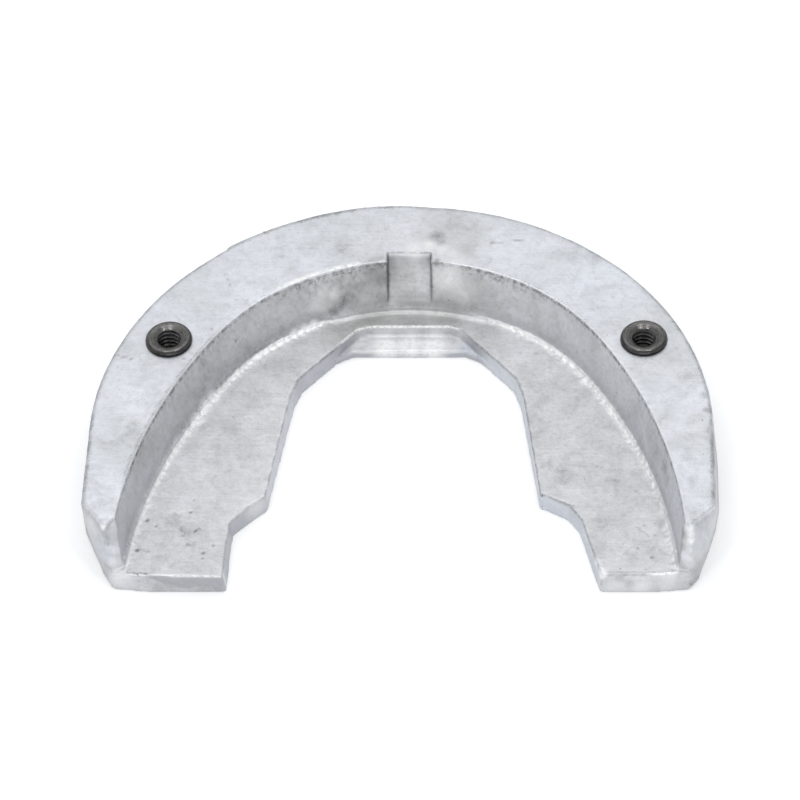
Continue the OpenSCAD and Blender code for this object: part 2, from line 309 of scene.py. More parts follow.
# How bright the band is: degrees, share
FOOT_BAND_SHARE = [
    (-120, 0.30), (-104, 0.55), (-86, 0.65), (-79, 0.9), (-25, 1.0), (-22, 0.25), (18, 0.25), (22, 0.4),
    (28, 0.9), (95, 0.9), (105, 0.6), (120, 0.4)]
# Lower limit of the painted shade on the left leg's front face: twice x, height
FRONT_SHADE = [
    (-116.0, 4.6), (-113.6, 4.2), (-104.8, 2.9), (-96.2, 1.6), (-90.6, 2.0), (-84.6, 2.3), (-82.6, 0.4),
    (-80.8, 0.0)]


class CastingSettings(bpy.types.PropertyGroup):
    """Sizes and colours of the casting's skin"""

    voxel: FloatProperty(
        name="Mesh Step", description="Spacing of the casting's mesh",
        default=0.7 * MM, min=0.4 * MM, max=2 * MM, unit="LENGTH", precision=5)
    relief: FloatProperty(
        name="Relief", description="Depth of the unevenness of the cast skin, in millimetres",
        default=0.14, min=0.0, max=0.5)
    pale: FloatVectorProperty(
        name="Pale Metal", description="Colour of the clean cast skin",
        subtype="COLOR", size=3, default=(0.81, 0.83, 0.88), min=0, max=1)
    # Dull metal; the painted shade on walls, faces and floor is mixed towards it too
    dull_and_shade: FloatVectorProperty(
        name="Dull Metal", description="Colour of the cloudy patches of the skin",
        subtype="COLOR", size=3, default=(0.50, 0.505, 0.51), min=0, max=1)
    # Also the colour of the painted shade on edges, corners and creases
    dark: FloatVectorProperty(
        name="Soot", description="Colour of pits, smudges and stained places",
        subtype="COLOR", size=3, default=(0.12, 0.12, 0.125), min=0, max=1)
    # Rubbed metal; the painted highlights are mixed towards it too
    worn_and_lit: FloatVectorProperty(
        name="Worn Metal", description="Colour of rubbed, bright metal",
        subtype="COLOR", size=3, default=(0.96, 0.96, 0.96), min=0, max=1)


class BushSettings(bpy.types.PropertyGroup):
    """Sizes and colours of the threaded bushes"""

    pitch: FloatProperty(
        name="Thread Pitch", description="Distance between two turns of the thread",
        default=1.27 * MM, min=0.5 * MM, max=2 * MM, unit="LENGTH", precision=5)
    depth: FloatProperty(
        name="Thread Depth", description="Height of the thread from crest to root",
        default=0.66 * MM, min=0.2 * MM, max=1 * MM, unit="LENGTH", precision=5)
    steps: IntProperty(
        name="Steps", description="Steps round each bush", default=96, min=32, max=192)
    steel: FloatVectorProperty(
        name="Turned Steel", description="Colour of the turned faces",
        subtype="COLOR", size=3, default=(0.150, 0.146, 0.142), min=0, max=1)
    black: FloatVectorProperty(
        name="Black Steel", description="Colour of the blackened steel between the turned faces",
        subtype="COLOR", size=3, default=(0.022, 0.022, 0.024), min=0, max=1)


class StageSettings(bpy.types.PropertyGroup):
    """Camera, lamps and floor"""

    distance: FloatProperty(
        name="Camera Distance", description="Distance from the camera to its target",
        default=1.0, min=0.3, max=5, unit="LENGTH")
    elevation: FloatProperty(
        name="Camera Elevation", description="Height of the camera above the horizon",
        default=math.radians(47.3), unit="ROTATION")
    yaw: FloatProperty(
        name="Camera Yaw", description="Turn of the camera to the right of the middle",
        default=math.radians(3.92), unit="ROTATION")
    roll: FloatProperty(
        name="Camera Roll", description="Tilt of the picture",
        default=math.radians(-2.98), unit="ROTATION")
    lens: FloatProperty(
        name="Lens", description="Focal length for a sensor 36 mm wide, in millimetres",
        default=190.7, min=20, max=400)


class Field:
    """A number that varies over a surface, worked out by the nodes of its material."""

    def __init__(self, nodes, socket):
        self.nodes = nodes
        self.socket = socket

    def math(self, operation, other=0.0):
        return self.nodes.field("Math", {0: self, 1: other}, operation=operation)

    def __add__(self, other):
        return self.math("ADD", other)

    def __sub__(self, other):
        return self.math("SUBTRACT", other)

    def __rsub__(self, other):
        return self.nodes.field("Math", {0: other, 1: self}, operation="SUBTRACT")

    def __mul__(self, other):
        return self.math("MULTIPLY", other)

    def __abs__(self):
        return self.math("ABSOLUTE")

    def ramp(self, low, high, to_low=0.0, to_high=1.0):
        """Turns the range low..high into to_low..to_high, held at both ends."""
        return self.nodes.field("MapRange", {
            "Value": self, "From Min": low, "From Max": high,
            "To Min": to_low, "To Max": to_high}, "Result", clamp=True)

    def line(self, middle, wide, narrow):
        """A soft line: 1 within the narrow distance of the middle, 0 beyond the wide one."""
        return abs(self - middle).ramp(wide, narrow)


def highest(first, *others):
    """The highest of some fields at each point."""
    for other in others:
        first = first.math("MAXIMUM", other)
    return first


class Nodes:
    """The nodes of one material, or of the world, added one after another."""

    def __init__(self, owner):
        owner.use_nodes = True
        self.tree = owner.node_tree
        self.tree.nodes.clear()

    def feed(self, socket, value):
        """Sets an input to a value, or links it to a field or an output."""
        if isinstance(value, Field):
            value = value.socket
        if isinstance(value, bpy.types.NodeSocket):
            self.tree.links.new(value, socket)
        else:
            socket.default_value = value

    def add(self, kind, inputs=None, **settings):
        """Makes a node. An input is a value, a field or another node's output."""
        made = self.tree.nodes.new("ShaderNode" + kind)
        for name, value in settings.items():
            setattr(made, name, value)
        for name, value in (inputs or {}).items():
            self.feed(made.inputs[name], value)
        return made

    def field(self, kind, inputs=None, output=0, **settings):
        """Makes a node and gives one of its outputs as a field."""
        return Field(self, self.add(kind, inputs, **settings).outputs[output])

    def noise(self, vector, scale, detail=3.0, roughness=0.5, distortion=0.0):
        return self.field("TexNoise", {
            "Vector": vector, "Scale": scale, "Detail": detail,
            "Roughness": roughness, "Distortion": distortion}, "Fac")

    def stretched(self, vector, turn, scale):
        """The same place turned about the z axis and stretched, for streaks."""
        return self.add("Mapping", {
            "Vector": vector, "Rotation": (0, 0, turn), "Scale": scale}).outputs["Vector"]

    def split(self, vector):
        made = self.add("SeparateXYZ", {"Vector": vector})
        return [Field(self, made.outputs[axis]) for axis in "XYZ"]

    def join(self, x, y):
        return self.add("CombineXYZ", {"X": x, "Y": y}).outputs[0]

    def length(self, x, y):
        return self.field("VectorMath", {0: self.join(x, y)}, "Value", operation="LENGTH")

    def wall_gap(self, side, y, edge):
        """The same distance as wall_gap above, the side being counted from the middle line."""
        centre_y, bow_r, leg_r = edge
        y = y - centre_y
        far = leg_r - bow_r
        bow = self.length(side, y) - bow_r
        leg = self.length(side + far * math.sin(BOW_ANGLE), y + far * math.cos(BOW_ANGLE)) - leg_r
        beyond = (side * math.cos(BOW_ANGLE)).math("GREATER_THAN", y * math.sin(BOW_ANGLE))
        return beyond * leg + (1.0 - beyond) * bow

    def curve(self, along, points):
        """A value that follows another, from points of (place -120..120, value 0..4)."""
        made = self.add("ValToRGB", {"Fac": along.ramp(-120.0, 120.0)})
        stops = made.color_ramp.elements
        while len(stops) < len(points):
            stops.new(0.5)
        for stop, (place, value) in zip(stops, points):
            stop.position = (place + 120.0) / 240.0
            stop.color = (value / 4, value / 4, value / 4, 1)
        return Field(self, made.outputs["Color"]) * 4.0

    def mix(self, factor, a, b, blend="MIX"):
        made = self.add("Mix", data_type="RGBA", blend_type=blend)
        for name, value in (("Factor", factor), ("A", a), ("B", b)):
            self.feed([s for s in made.inputs if s.name == name and s.enabled][0], value)
        return [s for s in made.outputs if s.enabled][0]

    def bump(self, height, distance, strength, normal=None):
        inputs = {"Height": height, "Distance": distance, "Strength": strength}
        if normal is not None:
            inputs["Normal"] = normal
        return self.add("Bump", inputs).outputs["Normal"]

    def metal(self, colour, metallic, rough, normal):
        surface = self.add("BsdfPrincipled", {
            "Base Color": colour, "Metallic": metallic, "Roughness": rough, "Normal": normal})
        self.finish(surface.outputs[0])

    def finish(self, surface):
        self.add("OutputMaterial", {"Surface": surface})


def opaque(colour):
    return (*colour, 1.0)


class CastSkin:
    """Places, zones and patterns of the cast skin, in millimetres, that its colours go by."""

    def __init__(self, nodes):
        self.nodes = nodes
        self.share = {name: nodes.field("Attribute", output="Fac", attribute_name=name)
                      for name in SHARES}
        self.place = nodes.add("VectorMath", {
            0: nodes.add("TexCoord").outputs["Object"], "Scale": 1 / MM}, operation="SCALE").outputs[0]
        self.x, self.y, self.z = nodes.split(self.place)
        # Distance from the middle line and from the inner wall, degrees about the bow's centre
        self.side = abs(self.x - CORE_X)
        self.foot_gap = nodes.wall_gap(self.side, self.y, FOOT_EDGE)
        self.top_gap = nodes.wall_gap(self.side, self.y, TOP_EDGE)
        self.turn = (self.x - CORE_X).math("ARCTAN2", self.y - BOW_Y) * math.degrees(1)
        self.patterns(nodes, self.place)
        self.zones(nodes, self.x, self.y, self.z)

    def patterns(self, nodes, place):
        """Noises from the broadest to the finest, and brushed streaks both ways."""
        self.clouds = nodes.noise(place, 0.055, 4, 0.55, 0.4)
        self.patches = nodes.noise(place, 0.21, 5, 0.62, 0.6)
        self.mottle = nodes.noise(place, 0.8, 5, 0.66)
        self.speckle = nodes.noise(place, 2.4, 3, 0.7)
        self.grain = nodes.noise(place, 5.0, 2, 0.6)
        self.streaks = nodes.noise(nodes.stretched(place, 0.16, (0.1, 1.6, 0.6)), 1.0, 4, 0.65)
        self.strokes = nodes.noise(nodes.stretched(place, -0.9, (0.12, 2.2, 0.8)), 1.0, 3, 0.6)
        self.pores = (nodes.noise(place, 1.5, 2).ramp(0.69, 0.75)
                      * nodes.noise(place, 0.13, 3).ramp(0.48, 0.66, 0.15, 1.0))

    def zones(self, nodes, x, y, z):
        """Where on the casting a point is: shares from 0 to 1, and distances."""
        self.floor = z.ramp(6.6, 5.3)
        self.upright = z.ramp(5.9, 7.2) * z.ramp(16.85, 16.3) * y.ramp(-50.0, -46.0)
        self.outside = z.ramp(16.6, 15.8) * self.top_gap.ramp(0.5, 2.0)
        self.front_face = y.ramp(-53.0, -53.6)
        # The side faces of the opening between the legs
        self.inside = self.foot_gap.ramp(-6, -8) * y.ramp(-53, -51)
        # Stretch of the bow where the rim's lip is torn
        self.torn = self.turn.ramp(-37.5, -34.5) * self.turn.ramp(-11.8, -13.2)
        # Distance up from the upper limit of the bright band along the foot of the wall
        self.above_band = self.foot_gap + nodes.curve(self.turn, FOOT_BAND_TOP)
        # Distance back from the front edge of each leg's floor, and the edge's unevenness
        self.front_gap = ((y + 53.25) + x.ramp(-48.0, -38.0, 0.55, 0.85)
                          - self.side.ramp(57.0, 64.0, 0.0, 0.75) - x.ramp(40.0, 41.0, 0.0, 0.85))
        self.jagged = self.mottle.ramp(0.35, 0.65, -0.3, 0.3)


def cloudiness_and_shade(skin):
    """How dull the skin is: 0 clean, 1 dull, more where it is dirty; painted shade darkens the walls,
    the outer and front faces and the floor here too.
    """
    x, y, z = skin.x, skin.y, skin.z
    cloud_and_shade = skin.clouds.ramp(0.38, 0.68, 0, 0.30) + skin.patches.ramp(0.42, 0.70, 0, 0.26)
    cloud_and_shade += skin.mottle.ramp(0.46, 0.72, 0, 0.24)
    cloud_and_shade += skin.streaks.ramp(0.52, 0.72, 0, 0.16)
    cloud_and_shade += skin.speckle.ramp(0.50, 0.74, 0, 0.30) * skin.floor.ramp(0, 1, 0.45, 1.0)
    # Painted shade: the walls darker towards the left and towards the back of the bow, the outer walls
    # and the legs' front faces darker, and the floor a little darker down in the pocket, partly duller
    # skin and partly painted shade
    cloud_and_shade += skin.upright * x.ramp(-45, 45, 0.34, 0.05)
    cloud_and_shade += skin.upright * y.ramp(5.0, 25.0) * 0.30
    cloud_and_shade += skin.outside * 0.47
    cloud_and_shade += skin.front_face * 0.3
    cloud_and_shade += skin.floor * 0.16
    # The dull share: dull metal, and painted shade on the floor before the bow and on the legs' sides
    cloud_and_shade += skin.share["dull_and_shade"] * highest(z.ramp(4.3, 4.9), y.ramp(-45.0, -50.0))
    return cloud_and_shade


def tinted(skin, colour):
    """Tints the skin: warmer floor, cooler outer walls, the stain, and painted shade on the faces of
    the opening and the left leg's front face.
    """
    nodes, x, y, z = skin.nodes, skin.x, skin.y, skin.z
    warm = highest(skin.floor * 0.8, skin.upright * 0.25,
                   nodes.noise(skin.place, 0.034, 2).ramp(0.45, 0.65, 0, 0.5))
    colour = nodes.mix(warm, colour, opaque(WARM_TINT), "MULTIPLY")
    colour = nodes.mix(highest(skin.outside, skin.front_face), colour, opaque(COOL_TINT), "MULTIPLY")
    stained = skin.share["stain"] * skin.patches.ramp(0.25, 0.62, 0.35, 1.0)
    colour = nodes.mix(stained * 0.6, colour, opaque(STAIN_COLOUR))

    # Painted shade on the side and back faces of the opening, deepest on the left side's slant and step
    face = skin.inside * z.ramp(4.7, 4.4)
    right = face * x.ramp(11.0, 13.0)
    left = face * x.ramp(-13.0, -15.0)
    back = face * y.ramp(14.0, 17.0)
    colour = nodes.mix(right * skin.patches.ramp(0.35, 0.65, 0.5, 0.95), colour, opaque(RIGHT_FACE_SHADE))
    colour = nodes.mix(left * 0.65, colour, opaque(LEFT_FACE_SHADE))
    slant_and_step = highest(y.ramp(1.0, 5.0, 0.0, 0.5), y.ramp(-27.0, -31.0, 0.0, 0.65))
    colour = nodes.mix(left * slant_and_step, colour, opaque(LEFT_FACE_DEEP_SHADE))
    off_the_ledge = highest(z.ramp(2.1, 2.4), z.ramp(1.7, 1.4))
    colour = nodes.mix(back * off_the_ledge * 0.95, colour, opaque(BACK_FACE_SHADE))

    # Painted shade on the upper part of the left leg's front face, with a wavy lower limit
    over_limit = z + skin.mottle.ramp(0.35, 0.65, -0.25, 0.25) - nodes.curve(x * 2.0, FRONT_SHADE)
    shaded = y.ramp(-53.0, -53.5) * x.ramp(-39.0, -40.0) * z.ramp(4.9, 4.6) * over_limit.ramp(-0.2, 0.2)
    return nodes.mix(shaded * 0.8, colour, opaque(SHADED_FACE))


def dark_places(skin):
    """Pores, soot, dark lines and painted shade on edges, corners and creases: how dark the skin is at
    each point.
    """
    x, y, z, side, turn = skin.x, skin.y, skin.z, skin.side, skin.turn
    mottle, speckle, streaks = skin.mottle, skin.speckle, skin.streaks
    sooty = skin.share["soot"] * mottle.ramp(0.30, 0.58, 0.35, 1.0)

    # Painted shade on the rim's rounded outer edge, broken in patches
    outer = (skin.nodes.length(x, (y - BOW_Y).math("MAXIMUM", 0.0))
             + speckle.ramp(0.3, 0.7, -0.35, 0.35))
    rim_edge_shade = (outer.ramp(70.6, 71.1) * z.ramp(11.0, 15.5) * y.ramp(-46.0, -38.0)
                * skin.patches.ramp(0.40, 0.62, 0.35, 1.0) * mottle.ramp(0.30, 0.60, 0.35, 0.55))

    # The fretted wall under the lip, the lip's own line, and painted shade in the notch's corners
    under_lip = skin.top_gap.ramp(0.05, -0.25) * z.ramp(14.2, 15.6) * z.ramp(17.0, 16.7)
    fretting = (under_lip * (speckle + mottle.ramp(0.35, 0.65, -0.18, 0.18)).ramp(0.52, 0.64)
                * highest(skin.torn * 0.55, abs(turn).ramp(46, 20, 0.12, 0.45)))
    brink = skin.top_gap.line(-0.2, 0.32, 0.12) * z.ramp(15.8, 16.4) * mottle.ramp(0.40, 0.60, 0.1, 0.7)
    notch_corner_shade = (side.line(NOTCH_HALF, 0.42, 0.14) * y.ramp(30.6, 31.4) * y.ramp(37.3, 37.0)
                  * z.ramp(9.0, 10.4) * speckle.ramp(0.35, 0.55, 0.25, 0.55))

    # Painted shade in the crease at the foot of the wall, and a darker line of painted shade over the
    # bright band
    above = skin.above_band
    crease_shade = above.ramp(-0.1, 0.1) * above.ramp(2.4, 0.2) * z.ramp(9.0, 7.0) * z.ramp(4.9, 5.1) * 0.16
    crease_line_shade = (above.ramp(-0.05, 0.1) * above.ramp(0.8, 0.3) * z.ramp(4.9, 5.1) * z.ramp(8.0, 7.0)
            * turn.ramp(-16, -24, 0.1, 0.36) * turn.ramp(-75, -60, 0.4, 1.0)
            * mottle.ramp(0.35, 0.60, 0.5, 1.0))

    # The rim's inner edge: frayed painted shade on its rounding on the left leg, dark specks on the
    # right of the bow
    on_edge = skin.top_gap.ramp(-0.15, 0.0) * z.ramp(15.8, 16.6)
    frayed = skin.top_gap + mottle.ramp(0.38, 0.62, -0.4, 0.4)
    edge_shade = (turn.ramp(-108, -103) * turn.ramp(-52, -60) * on_edge * frayed.ramp(1.0, 0.6)
                 * speckle.ramp(0.35, 0.60, 0.15, 0.40))
    specks = (turn.ramp(22, 28) * turn.ramp(62, 54) * on_edge * frayed.ramp(0.9, 0.5)
              * speckle.ramp(0.50, 0.62, 0.0, 0.45))

    # A line of painted shade under the floor's edge on the sides of the opening
    under_edge_shade = (skin.inside * z.ramp(4.05, 4.4) * z.ramp(4.92, 4.84)
                 * streaks.ramp(0.38, 0.55, 0.35, 1.0)
                 * highest(x.ramp(12.0, 13.5) * 0.42, x.ramp(-14.0, -15.5) * 0.5)
                 * highest(y.ramp(0.0, 8.0), x.ramp(0.0, 1.0, 0.45, 0.9)))

    # A thin dark line on the floor behind the legs' front edges, and a line of painted shade under the
    # right leg's edge
    uneven = skin.front_gap + skin.jagged
    front_line = (uneven.line(0.65, 0.38, 0.12) * z.ramp(4.8, 4.95) * y.ramp(-50.0, -51.0)
                  * streaks.ramp(0.40, 0.55, 0.15, 0.50)
                  * highest(x.ramp(-55.0, -57.0), x.ramp(40.0, 44.0, 0.0, 0.6)) * side.ramp(62.8, 61.8))
    under_front_shade = (uneven.line(0.0, 0.45, 0.15) * z.ramp(4.3, 4.5) * y.ramp(-51.0, -52.0)
                 * x.ramp(46.5, 48.0) * x.ramp(57.5, 56.0) * mottle.ramp(0.38, 0.55, 0.15, 0.5))
    return highest(skin.pores * 0.7, sooty, rim_edge_shade, fretting, brink, notch_corner_shade, crease_shade, crease_line_shade,
                   edge_shade, specks, under_edge_shade, front_line, under_front_shade)


def bright_places(skin):
    """Rubbed and raised metal, and painted highlights on the legs' front edges, the leg ends and the
    wall's foot: how bright the skin is at each point.
    """
    nodes, x, y, z = skin.nodes, skin.x, skin.y, skin.z
    side, turn, torn = skin.side, skin.turn, skin.torn
    mottle, speckle = skin.mottle, skin.speckle
    # The bright share: rubbed metal, and painted highlights on the leg ends
    spots = skin.share["bright"] * mottle.ramp(0.32, 0.55, 0.45, 1.0)

    # Lumps in the band along the foot of the wall, partly burnished metal and partly painted highlight,
    # more even towards the leg ends
    even = highest(turn.ramp(-80, -92, 0.2, 0.65), turn.ramp(72, 84, 0.2, 0.6))
    broken = (speckle + mottle).ramp(0.84, 1.10, even, 1.0)
    band = (skin.above_band.ramp(0.08, -0.10) * z.ramp(4.75, 4.95) * z.ramp(7.2, 6.6)
            * nodes.curve(turn, FOOT_BAND_SHARE))
    over_low = skin.foot_gap + nodes.curve(turn, FOOT_BAND_LOW) + mottle.ramp(0.35, 0.65, -0.45, 0.45)
    core = (band * skin.above_band.ramp(-1.5, -0.9) * over_low.ramp(-0.3, 0.15)
            * highest(broken, abs(turn).ramp(58, 48, 0.0, 0.95)))
    lumps = highest(core, band * over_low.ramp(-0.9, 0.5) * broken * 0.6)

    # The burr along the rim's inner edge, widest where the lip is torn
    burr_share = highest(
        torn, turn.ramp(-14, -11) * turn.ramp(-4.0, -7.0) * speckle.ramp(0.48, 0.60),
        turn.ramp(8, 14) * turn.ramp(62, 50) * 0.8, 0.35)
    burr_line = skin.top_gap.line(
        torn.ramp(0, 1, 0.18, 0.55), torn.ramp(0, 1, 0.28, 0.95), torn.ramp(0, 1, 0.08, 0.3))
    burr = burr_line * z.ramp(16.2, 16.6) * mottle.ramp(0.36, 0.52) * burr_share

    # Bright flecks on the floor's edge at the back of the opening: its back, rounded corners and slants
    edge_gap = highest(
        y - 24.1, (side - 9.3) * 0.31 + (y - 24.1) * 0.95, (side - 12.6) * 0.764 + (y - 23.0) * 0.645)
    edge_flecks = (edge_gap.line(0.0, 0.42, 0.15) * x.ramp(-17.0, -15.0) * x.ramp(13.0, 11.5)
             * y.ramp(10.0, 12.0) * z.ramp(4.2, 4.7) * z.ramp(5.6, 5.3)
             * speckle.ramp(0.40, 0.52, 0.35, 1.0))

    # Painted highlights along the front edges of the legs' floors
    front_glint = ((skin.front_gap + skin.jagged).ramp(0.5, 0.25) * z.ramp(4.5, 4.75)
                   * z.ramp(5.5, 5.2) * y.ramp(-50.0, -51.5) * side.ramp(63.0, 62.0)
                   * mottle.ramp(0.36, 0.50, 0.3, 1.0)
                   * highest(x.ramp(-55.5, -57.0), x.ramp(55.5, 57.5, 0.1, 1.0)))
    front_sheen = (skin.front_gap.line(0.35, 0.6, 0.2) * z.ramp(4.8, 4.9) * x.ramp(-57.0, -55.5)
                 * x.ramp(-38.0, -40.0) * mottle.ramp(0.38, 0.56, 0.2, 0.8))
    return highest(lumps, burr, edge_flecks, front_glint, front_sheen, spots)


def cast_alloy(settings):
    """Pale cast metal: cloudy, speckled, dark in pits, bright where worn, with painted shade and
    painted highlights on walls, faces and edges.
    """
    material = bpy.data.materials.new("cast alloy skin")
    nodes = Nodes(material)
    skin = CastSkin(nodes)
    cloud_and_shade = cloudiness_and_shade(skin)
    dark = dark_places(skin)
    rubbed_and_lit = bright_places(skin)
    # The line along the notch's back edge, which lies over the bright spots of rubbed metal and painted
    # highlight
    notch_brink = (skin.y.line(NOTCH_Y, 0.34, 0.12) * skin.z.ramp(16.0, 16.5)
                   * skin.side.ramp(5.3, 4.9) * skin.mottle.ramp(0.38, 0.55, 0.2, 0.55))

    # Pale metal clouds over to dull metal, which also carries the painted shade
    colour = nodes.mix(cloud_and_shade.ramp(0, 1), opaque(settings.pale), opaque(settings.dull_and_shade))
    colour = nodes.mix(cloud_and_shade.ramp(1.0, 1.6), colour, opaque([c * 0.72 for c in settings.dull_and_shade]))
    colour = tinted(skin, colour)
    # Pores, soot and painted shade
    colour = nodes.mix(dark, colour, opaque(settings.dark))
    # Rubbed metal and painted highlights
    colour = nodes.mix(rubbed_and_lit, colour, opaque(settings.worn_and_lit))
    colour = nodes.mix(notch_brink, colour, opaque(settings.dark))

    rough = skin.patches.ramp(0.3, 0.7, 0.40, 0.56) + skin.mottle.ramp(0.3, 0.7, -0.06, 0.07)
    rough = rough - rubbed_and_lit * 0.14 + dark * 0.12
    uneven = skin.patches * 0.8 + skin.mottle * 0.6 - skin.pores * 0.5
    fine = (skin.speckle + skin.streaks * 0.8 + skin.strokes * 0.5
            + rubbed_and_lit * skin.speckle * 2.0 + skin.grain * 0.5)
    normal = nodes.bump(uneven, 0.16 * MM, 0.55)
    normal = nodes.bump(fine, 0.05 * MM, 0.6, normal)
    nodes.metal(colour, 0.75, rough, normal)
    return material


def turned_steel(settings, side):
    """Dark steel with fine turned rings about the bush's own axis."""
    material = bpy.data.materials.new("turned steel " + ("left" if side < 0 else "right"))
    nodes = Nodes(material)
    place = nodes.add("TexCoord").outputs["Object"]
    bush_x = CORE_X + side * BUSH_PITCH / 2
    centred = nodes.add("Mapping", {
        "Vector": place, "Location": (-bush_x * MM, -BUSH_Y * MM, 0)}).outputs["Vector"]
    x, y, z = nodes.split(centred)
    section = nodes.join(nodes.length(x, y), z)
    rings = nodes.noise(section, 5200, 3, 0.6)
    broad = nodes.noise(section, 1300, 2)
    blotch = nodes.noise(place, 650, 4, 0.6)
    fine = nodes.noise(place, 4200, 2)
    black = nodes.field("Attribute", output="Fac", attribute_name="black")

    shade = (rings * 0.5 + blotch * 0.5).ramp(0.38, 0.62)
    colour = nodes.mix(shade, opaque([c * 0.62 for c in settings.steel]),
                       opaque([c * 1.35 for c in settings.steel]))
    colour = nodes.mix((black + blotch.ramp(0.3, 0.7, -0.2, 0.2)).ramp(0.2, 0.9),
                       colour, opaque(settings.black))
    rough = broad.ramp(0.3, 0.7, 0.17, 0.27) + blotch.ramp(0.35, 0.7, 0.0, 0.12)
    normal = nodes.bump(rings, 0.02 * MM, 0.35)
    normal = nodes.bump(fine, 0.02 * MM, 0.3, normal)
    nodes.metal(colour, 1.0, rough, normal)
    return material


def place_piece(bm, name, material, replaced):
    """Makes an object from a bmesh and ties it to the frame."""
    mesh = bpy.data.meshes.new(name)
    bm.to_mesh(mesh)
    bm.free()
    mesh.shade_smooth()
    mesh.materials.append(material)
    piece = bpy.data.objects.new(name, mesh)
    bpy.context.scene.collection.objects.link(piece)
    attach(piece, BODY)
    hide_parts(replaced)


def merged_solid(source):
    """The solid's own mesh with its doubled vertices joined."""
    solid = bmesh.new()
    solid.from_mesh(source.data)
    bmesh.ops.remove_doubles(solid, verts=solid.verts, dist=WELD)
    bmesh.ops.recalc_face_normals(solid, faces=solid.faces)
    return solid


def sharp_edges(solid, step):
    """Points along the solid's sharp edges, ready to be searched."""
    points = []
    for edge in solid.edges:
        if edge.is_manifold and edge.calc_face_angle() > SHARP:
            start, end = (v.co for v in edge.verts)
            count = max(int((end - start).length / step), 1)
            points += [start.lerp(end, i / count) for i in range(count + 1)]
    tree = KDTree(len(points))
    for i, point in enumerate(points):
        tree.insert(point, i)
    tree.balance()
    return tree


def even_mesh(solid, step):
    """The solid's surface again, as an even mesh of small quads."""
    mesh = bpy.data.meshes.new("blank")
    solid.to_mesh(mesh)
    blank = bpy.data.objects.new("blank", mesh)
    bpy.context.scene.collection.objects.link(blank)
    remesh = blank.modifiers.new("even", "REMESH")
    remesh.mode = "VOXEL"
    remesh.voxel_size = step
    bpy.context.view_layer.update()
    shaped = blank.evaluated_get(bpy.context.evaluated_depsgraph_get())
    bm = bmesh.new()
    bm.from_mesh(shaped.to_mesh())
    shaped.to_mesh_clear()
    bpy.data.objects.remove(blank)
    bpy.data.meshes.remove(mesh)
    return bm


def relax(bm, surface, keep):
    """Smooths the mesh and draws it back to the surface."""
    bmesh.ops.smooth_vert(bm, verts=bm.verts, factor=0.5,
                          use_axis_x=True, use_axis_y=True, use_axis_z=True)
    for v in bm.verts:
        v.co = v.co.lerp(surface.find_nearest(v.co)[0], keep)


def wants_detail(p, edges):
    """Whether a point needs a finer mesh: sharp edges, the foot of the wall, pits, scratches."""
    if edges.find(p * MM)[2] < 0.85 * MM:
        return True
    if 4.5 < p.z < 7.5 and -2.6 < wall_gap(p, FOOT_EDGE) < 0.9:
        return True
    if any((p.x - x) ** 2 + (p.y - y) ** 2 + (p.z - z) ** 2 < (radius + 0.9) ** 2
           for x, y, z, radius, depth in PITS):
        return True
    return scratch(p) > 0


def refine(bm, edges):
    """Splits the faces in four where fine detail is wanted."""
    wanted = {v for v in bm.verts if wants_detail(v.co / MM, edges)}
    split = [e for e in bm.edges if e.verts[0] in wanted and e.verts[1] in wanted]
    bmesh.ops.subdivide_edges(bm, edges=split, cuts=1, use_grid_fill=True)


def fine_mesh(source, step):
    """An even mesh on the solid's surface, finer and crisp along its edges."""
    solid = merged_solid(source)
    surface = BVHTree.FromBMesh(solid)
    edges = sharp_edges(solid, 0.15 * MM)
    bm = even_mesh(solid, step)
    solid.free()
    for _ in range(2):
        relax(bm, surface, 0.8)
    refine(bm, edges)
    for v in bm.verts:
        near, _, gap = edges.find(v.co)
        if gap < 0.2 * MM:
            v.co = near
        else:
            v.co = surface.find_nearest(v.co)[0]
    bm.normal_update()
    return bm


class ANODE_OT_casting(bpy.types.Operator):
    """Builds the casting with its uneven skin, gate scar, torn lip and pits"""

    bl_idname = "anode.casting"
    bl_label = "Casting"

    def execute(self, context):
        settings = context.scene.anode_casting
        bm = fine_mesh(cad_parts["anode_body"], settings.voxel)
        low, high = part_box("anode_body")
        layers = [bm.verts.layers.float.new(name) for name in SHARES]
        moves = []
        for v in bm.verts:
            p = v.co / MM
            for layer, share in zip(layers, paint(p)):
                v[layer] = min(max(share, 0.0), 1.0)
            skin = skin_shift(p, max(v.normal.z, 0.0), settings.relief)
            moves.append(v.co + v.normal * (skin * MM))
        for v, moved in zip(bm.verts, moves):
            v.co = [min(max(c, a), b) for c, a, b in zip(moved, low, high)]
        bmesh.ops.remove_doubles(bm, verts=bm.verts, dist=SKIN_WELD)
        bm.normal_update()
        place_piece(bm, "casting", cast_alloy(settings), "anode_body")
        return {"FINISHED"}


def turned_bush(low, high, thread_top, thread_end, steps):
    """Spins a bush's half section: its barrel, collar, funnel and bore, the bore in fine rows."""
    parts = ((low.z, BARREL), (RIM_Z * MM, COLLAR), (high.z, FUNNEL))
    profile = [(radius * MM, start + height * MM) for start, part in parts for radius, height in part]
    profile += [(THREAD_R * MM, thread_top + (thread_end - thread_top) * row / THREAD_ROWS)
                for row in range(THREAD_ROWS + 1)]
    profile += [(0.0, thread_end - 1.0 * MM)]
    bm = bmesh.new()
    corners = [bm.verts.new((r, 0, z)) for r, z in profile]
    wire = [bm.edges.new(pair) for pair in zip(corners, corners[1:])]
    bmesh.ops.spin(bm, geom=corners + wire, cent=(0, 0, 0), axis=(0, 0, 1),
                   angle=math.tau, steps=steps, use_merge=True)
    bmesh.ops.remove_doubles(bm, verts=bm.verts, dist=WELD)
    bmesh.ops.recalc_face_normals(bm, faces=bm.faces)
    return bm


